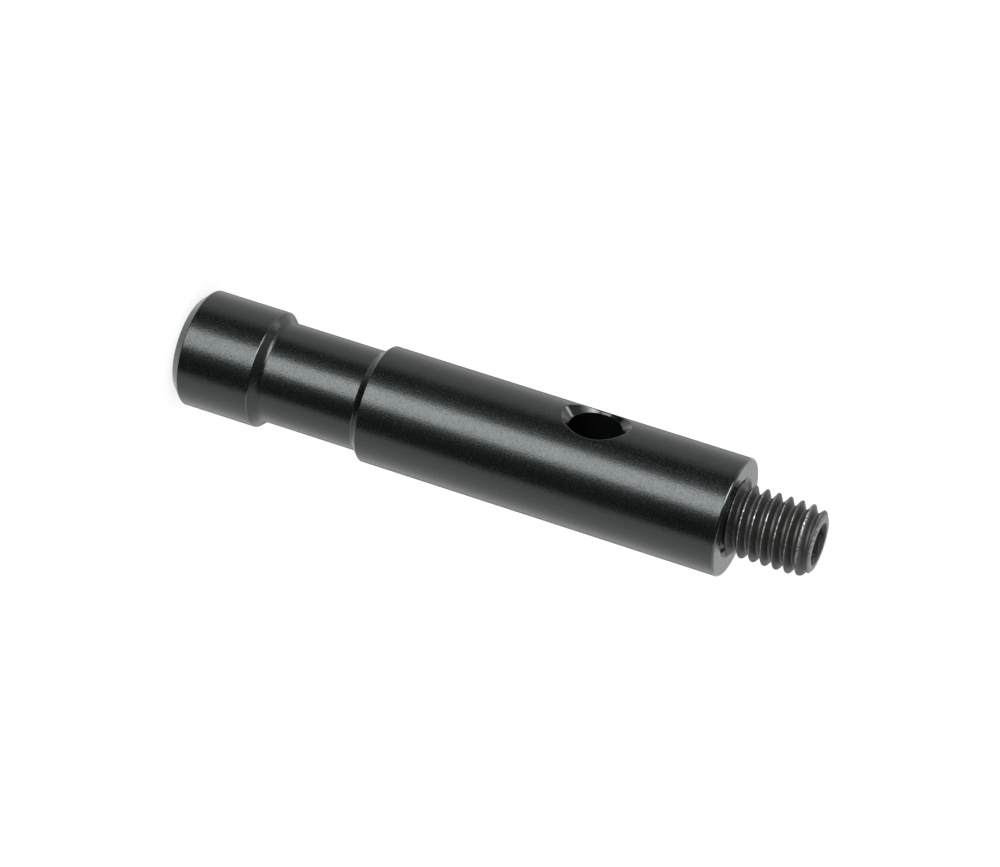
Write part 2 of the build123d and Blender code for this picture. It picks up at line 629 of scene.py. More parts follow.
@dataclass(frozen=True)
class SetScrew:
    """The socket set screw: cup point, full thread, chamfered end and hexagon socket."""

    foot: float
    top: float
    thread: Thread
    cup_reach: float = 2.6
    cup_angle: float = 118.0
    cup_chamfer: float = 1.0
    fade_start: float = 2.1
    fade_slope: float = 0.245
    end_reach: float = 3.6
    end_angle: float = 30.0
    end_break: float = 0.05
    ring_inset: float = 0.17
    mouth_reach: float = 2.85
    mouth_lip: float = 0.08
    across_flats: float = 4.7625
    socket_depth: float = 4.8
    socket_turn: float = 27.6
    socket_softness: float = 0.03
    pilot_reach: float = 2.25
    pilot_rim: float = 0.04
    pilot_share: float = 0.97

    @property
    def ring_height(self) -> float:
        """Height of the ring where the chamfer's plain cone ends and the thread begins."""
        return self.top - self.ring_inset * math.tan(math.radians(self.end_angle))

    def build(self) -> bpy.types.Object:
        """Makes the screw's mesh from the pole of its cup to the pole of its socket.

        Returns:
            The finished piece.
        """
        angles = even_angles(self.socket_turn)
        shell = Shell()
        shell.add(turned(self.cup_outline(), angles))
        shell.add(self.thread_grid(angles))
        shell.add(turned(self.end_outline(), angles))
        shell.add(self.socket_grid(angles))
        return shell.piece("set_screw_finished")

    def dress(self, piece: bpy.types.Object, effects: "Effects") -> None:
        """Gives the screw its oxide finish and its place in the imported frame."""
        finish_piece(piece, "set_screw", OxideFinish(self).material(effects))

    def cup_outline(self) -> np.ndarray:
        """Outline of the cup and its 45 degree outer chamfer.

        Returns:
            Rows of (reach, height).
        """
        hollow = self.cup_reach / math.tan(math.radians(self.cup_angle / 2))
        return rounded_outline(
            Corner(0, self.foot + hollow),
            Corner(self.cup_reach, self.foot, self.end_break),
            Corner(self.cup_reach + self.cup_chamfer, self.foot + self.cup_chamfer),
        )

    def thread_grid(self, angles: np.ndarray) -> np.ndarray:
        """The thread, from the cup's chamfer to the ring below the end face."""
        return self.thread.grid(self.foot + self.cup_chamfer, self.ring_height, angles, self.thread_limit)

    def thread_limit(self, reach: np.ndarray, height: np.ndarray) -> np.ndarray:
        """Trims the thread by the cup's chamfer below and by the end chamfer above.

        A rolled thread's last turns don't fill out: their crests fall short by a steady slope.

        Args:
            reach: reaches of the thread's profile.
            height: their heights.

        Returns:
            The smallest of the reach, the two chamfers' cones and the last turns' slope.
        """
        below = self.cup_reach + (height - self.foot)
        fade = self.thread.crest_reach - self.fade_slope * (height - self.top + self.fade_start)
        chamfer = self.end_reach + (self.top - height) / math.tan(math.radians(self.end_angle))
        return np.minimum.reduce([reach, below, fade, chamfer])

    def end_outline(self) -> np.ndarray:
        """Outline of the end chamfer's plain cone, the end face and the socket's mouth.

        Returns:
            Rows of (reach, height).
        """
        return rounded_outline(
            Corner(self.end_reach + self.ring_inset, self.ring_height),
            Corner(self.end_reach, self.top, self.end_break),
            Corner(self.mouth_reach, self.top, self.end_break),
            Corner(self.mouth_reach - self.mouth_lip, self.top - self.mouth_lip),
        )

    def socket_grid(self, angles: np.ndarray) -> np.ndarray:
        """The hexagon below its mouth, down to the point left by the pilot drill.

        The hexagon's reach is half the width across flats over the cosine of the angle from the
        nearest flat's middle. The mouth's cone meets it as deep as the hexagon lies inside the
        mouth's circle, so the flats rise in six arcs between their corners. Rows by an edge lie
        from an eighth of the softness to four times it away.

        Args:
            angles: the angle of each column, in radians.

        Returns:
            A grid of points in millimetres.
        """
        sixth = FULL_TURN / 6
        from_flat = np.mod(angles - math.radians(self.socket_turn), sixth) - sixth / 2
        hexagon = self.across_flats / 2 / np.cos(from_flat)
        meet = self.top - (self.mouth_reach - hexagon)
        floor = self.top - self.socket_depth
        point = floor - self.pilot_reach / math.tan(math.radians(self.cup_angle / 2))
        soft = self.socket_softness
        share = self.pilot_share
        rows = [
            (self.mouth_reach - self.mouth_lip, self.top - self.mouth_lip),
            (hexagon + soft / 2, meet + soft / 2),
            (hexagon + soft / 8, meet - soft / 8),
            (hexagon, meet - soft),
            (hexagon, meet - 4 * soft),
            (hexagon, (meet + floor) / 2),
            (hexagon, floor + 2 * soft),
            (hexagon, floor),
            (hexagon - 2 * soft, floor),
            (self.pilot_reach + self.pilot_rim, floor),
            (self.pilot_reach, floor),
            (share * self.pilot_reach, share * floor + (1 - share) * point),
            (0.0, point),
        ]
        filled = [np.broadcast_arrays(reach, height, angles)[:2] for reach, height in rows]
        reach, height = np.stack(filled, axis=1)
        return round_grid(reach, height, angles)


@dataclass(frozen=True)
class Spot:
    """Sockets that say where a shaded point lies in its piece, in metres."""

    place: Socket
    x: Socket
    y: Socket
    z: Socket
    reach: Socket


class NodeBuilder:
    """Adds nodes to a shader or group tree and joins them."""

    def __init__(self, tree: bpy.types.NodeTree) -> None:
        """Works on one tree."""
        self.tree = tree

    def add(self, kind: str, **settings: object) -> bpy.types.Node:
        """Adds a node and sets its properties.

        Args:
            kind: the node's Blender type name.
            settings: property names and their values.

        Returns:
            The new node.
        """
        node = self.tree.nodes.new(kind)
        for name, value in settings.items():
            setattr(node, name, value)
        return node

    def put(self, value: Union[Value, Triple], target: Socket) -> None:
        """Joins a socket to an input, or sets the input to a number or a colour.

        Args:
            value: the socket, number or colour, or nothing to leave the input as it is.
            target: the input.
        """
        if isinstance(value, Socket):
            self.tree.links.new(value, target)
        elif isinstance(value, tuple):
            target.default_value = (*value, 1.0)
        elif value is not None:
            target.default_value = value

    def math(self, operation: str, first: Value, second: Value = None, third: Value = None) -> Socket:
        """Adds a Math node.

        Args:
            operation: the node's operation.
            first: a socket or a number.
            second: a socket or a number, where the operation takes two.
            third: a socket or a number, where the operation takes three.

        Returns:
            The node's output.
        """
        node = self.add("ShaderNodeMath", operation=operation)
        for value, target in zip((first, second, third), node.inputs):
            self.put(value, target)
        return node.outputs[0]

    def product(self, first: Value, *others: Value) -> Socket:
        """Multiplies numbers.

        Args:
            first: a socket or a number.
            others: more of them.

        Returns:
            Their product.
        """
        for value in others:
            first = self.math("MULTIPLY", first, value)
        return first

    def remap(self, value: Socket, low: float, high: float, *results: float) -> Socket:
        """Maps a range of a value smoothly to another range, and holds it there outside.

        Args:
            value: the value.
            low: where its range starts.
            high: where its range ends.
            results: what it becomes at the start and at the end, where that isn't 0 and 1.

        Returns:
            The mapped value.
        """
        node = self.add("ShaderNodeMapRange", interpolation_type="SMOOTHSTEP")
        names = ("Value", "From Min", "From Max", "To Min", "To Max")
        for name, number in zip(names, (value, low, high, *(results or (0.0, 1.0)))):
            self.put(number, node.inputs[name])
        return node.outputs["Result"]

    def step(self, value: Socket, base: float, ends: Union[Pair, Ramp]) -> Socket:
        """Remaps a length in metres, whose range is given in millimetres from a base."""
        low, high, *results = ends
        return self.remap(value, (base + low) * MM, (base + high) * MM, *results)

    def noise(self, place: Socket, scale: Value, detail: float, roughness: float = 0.5) -> Socket:
        """Adds a noise texture.

        Args:
            place: the point's coordinates.
            scale: the texture's scale.
            detail: how many finer layers it has.
            roughness: how strong the finer layers are.

        Returns:
            Its value, from 0 to 1.
        """
        node = self.add("ShaderNodeTexNoise")
        names = ("Vector", "Scale", "Detail", "Roughness")
        for name, value in zip(names, (place, scale, detail, roughness)):
            self.put(value, node.inputs[name])
        return node.outputs["Fac"]

    def clouds(self, place: Socket, scale: float, middle: float, spread: float) -> Socket:
        """A value that drifts in soft patches, by up to a spread either side of its middle."""
        noise = self.noise(place, scale, 3.0)
        return self.remap(noise, *CLOUD_RANGE, middle - spread, middle + spread)

    def mix(self, share: Socket, first: Union[Socket, Triple], second: Triple) -> Socket:
        """Mixes two colours.

        Args:
            share: how much of the second colour there is.
            first: a socket, or a colour's three numbers.
            second: a colour's three numbers.

        Returns:
            The mixed colour.
        """
        node = self.add("ShaderNodeMix", data_type="RGBA")
        self.put(share, node.inputs["Factor"])
        ends = [socket for socket in node.inputs if socket.type == "RGBA"]
        self.put(first, ends[0])
        self.put(second, ends[1])
        return next(socket for socket in node.outputs if socket.type == "RGBA")

    def spot(self) -> Spot:
        """Adds the nodes that say where the shaded point lies.

        Returns:
            Its place and coordinates, and its reach, the root of x squared plus y squared.
        """
        place = self.add("ShaderNodeTexCoord").outputs["Object"]
        axes = self.add("ShaderNodeSeparateXYZ")
        self.put(place, axes.inputs["Vector"])
        x, y, z = axes.outputs
        square = self.math("MULTIPLY_ADD", y, y, self.product(x, x))
        return Spot(place, x, y, z, self.math("SQRT", square))

    def bump(self, shader: bpy.types.Node, height: Socket, depth: float) -> None:
        """Gives a shader a bumped normal.

        Args:
            shader: the shader.
            height: a height between 0 and 1.
            depth: what a height of 1 stands for, in metres.
        """
        node = self.add("ShaderNodeBump")
        for name, value in (("Strength", 1.0), ("Distance", depth), ("Height", height)):
            self.put(value, node.inputs[name])
        self.put(node.outputs["Normal"], shader.inputs["Normal"])


def start_material(name: str) -> tuple[bpy.types.Material, NodeBuilder, bpy.types.Node]:
    """Makes a node material with its Principled shader.

    Args:
        name: the material's name.

    Returns:
        The material, a builder for its tree, and the shader.
    """
    material = bpy.data.materials.new(name)
    material.use_nodes = True
    return material, NodeBuilder(material.node_tree), material.node_tree.nodes["Principled BSDF"]


def bare_material(name: str) -> tuple[bpy.types.Material, NodeBuilder, Socket]:
    """Makes a node material without a shader.

    Args:
        name: the material's name.

    Returns:
        The material, a builder for its tree, and the input that its surface goes to.
    """
    material, build, shader = start_material(name)
    build.tree.nodes.remove(shader)
    return material, build, build.tree.nodes["Material Output"].inputs["Surface"]


class Effects:
    """Surface effects that the finishes share, each a node group that is built once."""

    def __init__(self) -> None:
        """Builds the groups."""
        self.grain = self.make_grain()
        self.specks = self.make_specks()
        self.cells = self.make_cells()

    def start_group(
        self, name: str, inputs: list[str], outputs: list[str]
    ) -> tuple[NodeBuilder, Sockets, Sockets]:
        """Makes a shader node group that takes a place and numbers, and gives values.

        Args:
            name: the group's name.
            inputs: the number inputs' names.
            outputs: the value outputs' names.

        Returns:
            A builder for the group, the sockets that it is given, and those that it fills.
        """
        group = bpy.data.node_groups.new(name, "ShaderNodeTree")
        group.interface.new_socket("Place", in_out="INPUT", socket_type="NodeSocketVector")
        for labels, side in ((inputs, "INPUT"), (outputs, "OUTPUT")):
            for label in labels:
                group.interface.new_socket(label, in_out=side, socket_type="NodeSocketFloat")
        build = NodeBuilder(group)
        return build, build.add("NodeGroupInput").outputs, build.add("NodeGroupOutput").inputs

    def voronoi(self, build: NodeBuilder, given: Sockets) -> tuple[Socket, Socket, Socket]:
        """Adds a Voronoi pattern to a group.

        Args:
            build: the group's builder.
            given: the sockets that the group is given.

        Returns:
            The distance from the nearest cell's middle, and two chance values of that cell.
        """
        cells = build.add("ShaderNodeTexVoronoi")
        chance = build.add("ShaderNodeSeparateColor")
        build.put(given["Place"], cells.inputs["Vector"])
        build.put(given["Scale"], cells.inputs["Scale"])
        build.put(cells.outputs["Color"], chance.inputs["Color"])
        return cells.outputs["Distance"], chance.outputs["Red"], chance.outputs["Green"]

    def make_grain(self) -> bpy.types.NodeTree:
        """Fine blasted or etched grain: fine noise plus a share of coarse noise, as a height.

        Returns:
            The group.
        """
        build, given, filled = self.start_group("surface_grain", ["Scale", "Coarse Share"], ["Height"])
        coarse_scale = build.product(given["Scale"], COARSE_GRAIN_SCALE)
        fine = build.noise(given["Place"], given["Scale"], 2.0)
        coarse = build.noise(given["Place"], coarse_scale, 1.0)
        height = build.math("MULTIPLY_ADD", coarse, given["Coarse Share"], fine)
        build.put(height, filled["Height"])
        return build.tree

    def make_specks(self) -> bpy.types.NodeTree:
        """Sparse specks: the middles of those Voronoi cells that a chance value lets through.

        Returns:
            The group.
        """
        build, given, filled = self.start_group("sparse_specks", ["Scale", "Share", "Size"], ["Mask"])
        distance, chance, _ = self.voronoi(build, given)
        chosen = build.math("LESS_THAN", chance, given["Share"])
        near = build.math("LESS_THAN", distance, given["Size"])
        build.put(build.product(chosen, near), filled["Mask"])
        return build.tree

    def make_cells(self) -> bpy.types.NodeTree:
        """Two chance values from 0 to 1 for each cell of a Voronoi pattern.

        Returns:
            The group.
        """
        build, given, filled = self.start_group("surface_cells", ["Scale"], ["First", "Second"])
        _, first, second = self.voronoi(build, given)
        build.put(first, filled["First"])
        build.put(second, filled["Second"])
        return build.tree

    def place(
        self, group: bpy.types.NodeTree, build: NodeBuilder, spot: Spot, *values: float
    ) -> list[Socket]:
        """Places a group in a material with its own values.

        Args:
            group: the effect's group.
            build: the material's builder.
            spot: where the shaded point lies.
            values: the group's numbers, in the order of its inputs.

        Returns:
            The group's outputs.
        """
        node = build.add("ShaderNodeGroup", node_tree=group)
        for value, target in zip((spot.place, *values), node.inputs):
            build.put(value, target)
        return list(node.outputs)


@dataclass(frozen=True)
class AnodisedFinish:
    """Satin black anodising on turned aluminium, smoother in the cross-hole and on two edges.

    The grain's numbers are its scale and coarse share, and the specks' are their scale, share and
    size. The masks' widths are in millimetres.
    """

    body: PinBody
    colour: Triple = (0.0042, 0.0046, 0.0047)
    speck_colour: Triple = (0.06, 0.062, 0.062)
    dull_tint: Triple = (0.79, 0.85, 0.85)
    bright_tint: Triple = (0.93, 1.0, 1.0)
    specular_level: float = 0.55
    edge_level: float = 0.45
    roughness: float = 0.25
    patch_roughness: float = 0.012
    grain_roughness: float = 0.1
    cell_roughness: float = 0.12
    speck_roughness: float = 0.1
    smoothing: float = 0.12
    smoothed_grain: float = 0.85
    grain: Pair = (4800.0, 0.3)
    grain_depth: float = 1.5e-5
    specks: Triple = (1250.0, 0.03, 0.1)
    cell_scale: float = 6600.0
    patch_scale: float = 160.0
    hole_edge: Pair = (-0.04, -0.07)
    head_edge_width: float = 0.12
    face_edge_width: float = 0.27

    def material(self, effects: Effects) -> bpy.types.Material:
        """Builds the material.

        Args:
            effects: the shared surface effects.

        Returns:
            The material.
        """
        material, build, shader = start_material("black_anodised_satin")
        spot = build.spot()
        (grain,) = effects.place(effects.grain, build, spot, *self.grain)
        (specks,) = effects.place(effects.specks, build, spot, *self.specks)
        first, second = effects.place(effects.cells, build, spot, self.cell_scale)
        rare = build.math("POWER", first, 3.0)
        edge = self.edge(build, spot)
        smooth = build.math("MAXIMUM", self.hole(build, spot), edge)
        middle = self.roughness - GRAIN_MIDDLE * self.grain_roughness
        middle -= CUBED_CHANCE_MEAN * self.cell_roughness
        rough = build.clouds(spot.place, self.patch_scale, middle, self.patch_roughness)
        changes = (
            (grain, self.grain_roughness),
            (rare, self.cell_roughness),
            (specks, self.speck_roughness),
            (smooth, -self.smoothing),
        )
        for value, amount in changes:
            rough = build.math("MULTIPLY_ADD", value, amount, rough)
        build.put(rough, shader.inputs["Roughness"])
        build.put(build.mix(second, self.dull_tint, self.bright_tint), shader.inputs["Specular Tint"])
        level = build.math("MULTIPLY_ADD", edge, self.edge_level, self.specular_level)
        build.put(level, shader.inputs["Specular IOR Level"])
        build.put(build.mix(specks, self.colour, self.speck_colour), shader.inputs["Base Color"])
        kept = build.math("MULTIPLY_ADD", smooth, -self.smoothed_grain, 1.0)
        build.bump(shader, build.product(grain, kept), self.grain_depth)
        return material

    def hole(self, build: NodeBuilder, spot: Spot) -> Socket:
        """Mask of the cross-hole: what lies inside the barrel, near the hole's height.

        Args:
            build: the material's builder.
            spot: where the shaded point lies.

        Returns:
            The mask.
        """
        inside = build.step(spot.reach, self.body.reach, self.hole_edge)
        rise = build.math("ABSOLUTE", build.math("SUBTRACT", spot.z, self.body.hole.height * MM))
        near = build.math("LESS_THAN", rise, self.body.hole.window_half_height * MM)
        return build.product(inside, near)

    def edge(self, build: NodeBuilder, spot: Spot) -> Socket:
        """Mask of the head's edge at the groove and of the end face's edge.

        Args:
            build: the material's builder.
            spot: where the shaded point lies.

        Returns:
            1 near the outline's corner at either edge. It fades at the edge's width, over a fifth
            of that to either side.
        """
        inward = build.math("SUBTRACT", spot.reach, self.body.reach * MM)
        square = build.product(inward, inward)
        mask = 0.0
        edges = ((self.body.head_length, self.head_edge_width), (self.body.length, self.face_edge_width))
        for height, width in edges:
            along = build.math("SUBTRACT", spot.z, height * MM)
            apart = build.math("SQRT", build.math("MULTIPLY_ADD", along, along, square))
            near = build.step(apart, width, (width / 5, -width / 5))
            mask = build.math("MAXIMUM", near, mask)
        return mask


@dataclass(frozen=True)
class OxideFinish:
    """Black oxide on steel, rubbed bright in broken lines along the thread's crests. On the side that faces
    the lamps those lines carry a painted highlight.

    Pairs say where an effect starts and is full, in millimetres or, for the crests' line, in
    pitches from the ridge's middle. Ramps add the effect's strength at the two ends.
    """

    screw: SetScrew
    colour: Triple = (0.0185, 0.018, 0.0165)
    socket_colour: Triple = (0.04, 0.039, 0.04)
    # Bright bare metal, used both for real wear and for the painted highlight on the lit side.
    wear_and_sheen_colour: Triple = (0.48, 0.49, 0.49)
    ior: float = 1.62
    roughness: float = 0.52
    cloud_roughness: float = 0.06
    wear_and_sheen_roughness: float = 0.34
    socket_roughness: float = 0.2
    grain: Pair = (4200.0, 0.8)
    grain_depth: float = 1.6e-5
    specks: Triple = (2200.0, 0.05, 0.13)
    speck_wear: float = 0.3
    cloud_scale: float = 700.0
    socket_edge: Pair = (0.02, -0.04)
    socket_floor: Pair = (-5.5, -5.2)
    line_phase: float = 0.495
    line: Pair = (0.06, 0.035)
    crest: Pair = (-0.13, -0.05)
    last_turns: Ramp = (-1.2, -0.4, 0.0, 0.6)
    end: Pair = (-0.3, -0.1)
    end_rim: Pair = (-0.1, 0.0)
    end_wear: float = 0.36
    bead_scale: float = 2600.0
    beads: Ramp = (0.42, 0.6, 0.15, 0.95)
    patch_scale: float = 420.0
    patches: Ramp = (0.35, 0.55, 0.5, 1.0)
    # Bearing of the side that faces the lamps, and the ramp across the screw: the crest and rim lines are
    # painted brighter there, as a painted highlight.
    lit_side_bearing: float = 205.0
    side: Ramp = (0.0, 0.9, 0.3, 1.0)

    def material(self, effects: Effects) -> bpy.types.Material:
        """Builds the material.

        Args:
            effects: the shared surface effects.

        Returns:
            The material.
        """
        material, build, shader = start_material("black_oxide_steel")
        build.put(self.ior, shader.inputs["IOR"])
        spot = build.spot()
        (grain,) = effects.place(effects.grain, build, spot, *self.grain)
        (specks,) = effects.place(effects.specks, build, spot, *self.specks)
        inside = build.step(spot.reach, self.screw.mouth_reach, self.socket_edge)
        inside = build.product(inside, build.step(spot.z, self.screw.top, self.socket_floor))
        # Rubbed bare metal on the crests, rim and end, plus a painted highlight on the lit side.
        wear_and_sheen = build.math("MAXIMUM", self.wear_and_sheen(build, spot), build.product(specks, self.speck_wear))
        wear_and_sheen = build.product(wear_and_sheen, build.math("SUBTRACT", 1.0, inside))
        colour = build.mix(inside, self.colour, self.socket_colour)
        build.put(build.mix(wear_and_sheen, colour, self.wear_and_sheen_colour), shader.inputs["Base Color"])
        build.put(wear_and_sheen, shader.inputs["Metallic"])
        rough = build.clouds(spot.place, self.cloud_scale, self.roughness, self.cloud_roughness)
        rough = build.math("MULTIPLY_ADD", wear_and_sheen, self.wear_and_sheen_roughness - self.roughness, rough)
        rough = build.math("MULTIPLY_ADD", inside, self.socket_roughness, rough)
        build.put(rough, shader.inputs["Roughness"])
        build.bump(shader, grain, self.grain_depth)
        return material

    def wear_and_sheen(self, build: NodeBuilder, spot: Spot) -> Socket:
        """How far the oxide is rubbed off, from 0 to 1, with a painted highlight added on the lit side.

        The crests are rubbed in broken lines, and more widely over the last turns, whose crests fall
        short by the thread's slope. The end face is rubbed all over, and its rim in a broken line.
        The crest and rim lines are painted stronger on the side of the screw that faces the lamps,
        as a painted highlight.

        Args:
            build: the material's builder.
            spot: where the shaded point lies.

        Returns:
            The wear, with the painted highlight of the lit side.
        """
        screw = self.screw
        start = screw.top - screw.fade_start
        past = build.math("MAXIMUM", build.math("SUBTRACT", spot.z, start * MM), 0.0)
        crest_reach = build.math("MULTIPLY_ADD", past, -screw.fade_slope, screw.thread.crest_reach * MM)
        below = build.math("SUBTRACT", spot.reach, crest_reach)
        crest = build.step(below, 0.0, self.crest)
        last = build.step(spot.z, start, self.last_turns)
        rubbed = build.product(crest, build.math("MAXIMUM", self.crest_line(build, spot), last))
        end = build.step(spot.z, screw.top, self.end)
        rim = build.step(spot.reach, screw.end_reach, self.end_rim)
        rubbed = build.math("MAXIMUM", rubbed, build.product(end, rim))
        beads = build.remap(build.noise(spot.place, self.bead_scale, 2.0, 0.6), *self.beads)
        patches = build.remap(build.noise(spot.place, self.patch_scale, 2.0), *self.patches)
        # The lit side's share paints a highlight into the crest and rim lines.
        broken = build.product(rubbed, beads, patches, self.lit_side_share(build, spot))
        return build.math("MAXIMUM", broken, build.product(end, self.end_wear))

    def crest_line(self, build: NodeBuilder, spot: Spot) -> Socket:
        """Line along the middle of the crests.

        Across a ridge a phase runs from 0 to 1, with 0.5 on its middle: height over pitch, less
        the share of a turn at which the point stands, less that of the first crest.

        Args:
            build: the material's builder.
            spot: where the shaded point lies.

        Returns:
            1 on the line.
        """
        thread = self.screw.thread
        turn = build.math("ARCTAN2", spot.y, spot.x)
        start = 0.5 - thread.first_crest / thread.pitch
        climb = build.math("MULTIPLY_ADD", spot.z, 1 / (thread.pitch * MM), start)
        phase = build.math("FRACT", build.math("MULTIPLY_ADD", turn, -1 / FULL_TURN, climb))
        off = build.math("ABSOLUTE", build.math("SUBTRACT", phase, self.line_phase))
        return build.remap(off, *self.line)

    def lit_side_share(self, build: NodeBuilder, spot: Spot) -> Socket:
        """How much of the painted highlight a point's side of the screw gets, most on the side that faces
        the lamps.

        Args:
            build: the material's builder.
            spot: where the shaded point lies.

        Returns:
            The share, by the point's distance towards the lit side over the crests' reach.
        """
        facing = math.radians(self.lit_side_bearing)
        reach = self.screw.thread.crest_reach * MM
        along = build.product(spot.x, math.cos(facing) / reach)
        along = build.math("MULTIPLY_ADD", spot.y, math.sin(facing) / reach, along)
        return build.remap(along, *self.side)


@dataclass(frozen=True)
class LightTent:
    """Soft surroundings that reflections see: white sheets, a dim ceiling and dark gaps.

    Bearings are degrees from the camera's own bearing, anticlockwise from above, and glows are
    in units of white. A middle is a bearing and an elevation. An edge says where a smooth step
    starts and ends. Left and right are an upright camera's: bearings are negative on the left,
    and the edges of bearings are given without that sign.
    """

    radius: float = 1.2
    middle_height: float = 0.044
    pole_elevation: float = 89.9
    rows: int = 120
    columns: int = 240
    dark: float = 0.03
    sheet_turn: float = -41.4
    sheet_edge: Pair = (0.17, 0.23)
    sheet_glow: float = 1.1
    sheet_lean: float = 0.12
    side_edge: Pair = (64.0, 88.0)
    side_top_edge: Pair = (33.0, 43.0)
    side_glow: float = 0.93
    ceiling_foot_edge: Pair = (38.0, 50.0)
    ceiling_edge: Pair = (-20.0, 60.0)
    ceiling_glows: Pair = (0.08, 0.6)
    dip_middle: Pair = (180.0, -16.0)
    dip_half_sizes: Pair = (40.0, 22.0)
    dip_edge: Pair = (-1.0, -0.15)
    dip_share: float = 0.92
    strip_middle: Pair = (-38.0, 21.0)
    strip_slope: float = 0.35
    strip_half_width: float = 10.0
    strip_glow: float = 14.0
    strip_near_edge: Pair = (8.0, 28.0)
    strip_far_edge: Pair = (46.0, 74.0)
    window_middle: Pair = (-117.0, 38.5)
    window_spread: float = 2.8
    window_glow: float = 8.0
    halo_middle: Pair = (-15.0, -16.0)
    halo_spread: float = 16.0
    halo_glow: float = 1.3

    def glow(self, bearing: np.ndarray, elevation: np.ndarray) -> np.ndarray:
        """How bright the tent is in each direction.

        The covers, a strip lamp that leans to the left, a halo round the lamp, a small window
        and the dark level are added.

        Args:
            bearing: bearings, in degrees from -180 to 180.
            elevation: elevations, in degrees.

        Returns:
            The glow in each direction.
        """
        middle_bearing, middle_elevation = self.strip_middle
        middle = middle_elevation + self.strip_slope * (middle_bearing - bearing)
        off = (elevation - middle) * math.cos(math.atan(self.strip_slope)) / self.strip_half_width
        strip = self.strip_glow * np.exp(-off * off) * ramp(-bearing, *self.strip_near_edge)
        strip = strip * (1 - ramp(-bearing, *self.strip_far_edge))
        way = towards(np.radians(bearing), np.radians(elevation))
        halo = self.halo_glow * self.bell(way, self.halo_middle, self.halo_spread)
        window = self.window_glow * self.bell(way, self.window_middle, self.window_spread)
        return self.dark + self.covers(bearing, elevation, way) + strip + halo + window

    def covers(self, bearing: np.ndarray, elevation: np.ndarray, way: np.ndarray) -> np.ndarray:
        """Glow of the sheets and the ceiling, laid over each other by their maximum.

        The white sheet is all that faces away from its turn by more than its edge, a little
        brighter on the right. A side sheet stands on the left, and a ceiling lies above it. All
        dip behind the pin, inside an ellipse.

        Args:
            bearing: bearings, in degrees from -180 to 180.
            elevation: elevations, in degrees.
            way: the unit vectors of these directions.

        Returns:
            The glow in each direction.
        """
        facing = way @ towards(math.radians(self.sheet_turn), 0.0)
        sheet = ramp(-facing, *self.sheet_edge) * (self.sheet_glow + self.sheet_lean * way[..., 1])
        side = self.side_glow * ramp(-bearing, *self.side_edge)
        side = side * (1 - ramp(elevation, *self.side_top_edge))
        low, high = self.ceiling_glows
        ceiling = low + (high - low) * ramp(-bearing, *self.ceiling_edge)
        ceiling = ceiling * ramp(elevation, *self.ceiling_foot_edge)
        dip_bearing, dip_elevation = self.dip_middle
        half_width, half_height = self.dip_half_sizes
        aside = np.mod(bearing - dip_bearing + 180, 360) - 180
        from_dip = np.hypot(aside / half_width, (elevation - dip_elevation) / half_height)
        kept = 1 - self.dip_share * ramp(-from_dip, *self.dip_edge)
        return kept * np.maximum.reduce([sheet, side, ceiling])

    def bell(self, way: np.ndarray, middle: Pair, spread: float) -> np.ndarray:
        """Bell curve of the angle from a direction.

        Args:
            way: unit vectors.
            middle: the direction's bearing and elevation, in degrees.
            spread: the curve's standard deviation, in degrees.

        Returns:
            The curve's value at each vector, 1 at the middle.
        """
        cosine = way @ towards(*np.radians(middle))
        off = np.degrees(np.arccos(np.clip(cosine, -1, 1))) / spread
        return np.exp(-off * off / 2)

    def mesh(self, camera_bearing: float) -> bpy.types.Mesh:
        """A sphere round the pin that carries the glow as an attribute of its points.

        Args:
            camera_bearing: the camera's own bearing, in degrees.

        Returns:
            The mesh, its place included.
        """
        elevation = np.linspace(-self.pole_elevation, self.pole_elevation, self.rows + 1)[:, None]
        bearing = np.linspace(-180, 180, self.columns + 1)[None, :]
        elevation, bearing = np.broadcast_arrays(elevation, bearing)
        points = self.radius * towards(np.radians(bearing + camera_bearing), np.radians(elevation))
        points = points + np.array([0, 0, self.middle_height])
        index = np.arange(bearing.size).reshape(bearing.shape)
        faces = np.stack([index[:-1, :-1], index[1:, :-1], index[1:, 1:], index[:-1, 1:]], axis=-1)
        mesh = bpy.data.meshes.new("tent")
        mesh.from_pydata(points.reshape(-1, 3), [], faces.reshape(-1, 4))
        glow = mesh.attributes.new("glow", "FLOAT", "POINT")
        glow.data.foreach_set("value", self.glow(bearing, elevation).astype(np.float32).ravel())
        return mesh

    def material(self) -> bpy.types.Material:
        """White light, as strong as the mesh's glow says.

        Returns:
            The material.
        """
        material, build, surface = bare_material("tent_glow")
        material.cycles.emission_sampling = "NONE"
        glow = build.add("ShaderNodeAttribute", attribute_name="glow")
        light = build.add("ShaderNodeEmission")
        build.put(glow.outputs["Fac"], light.inputs["Strength"])
        build.put(light.outputs["Emission"], surface)
        return material


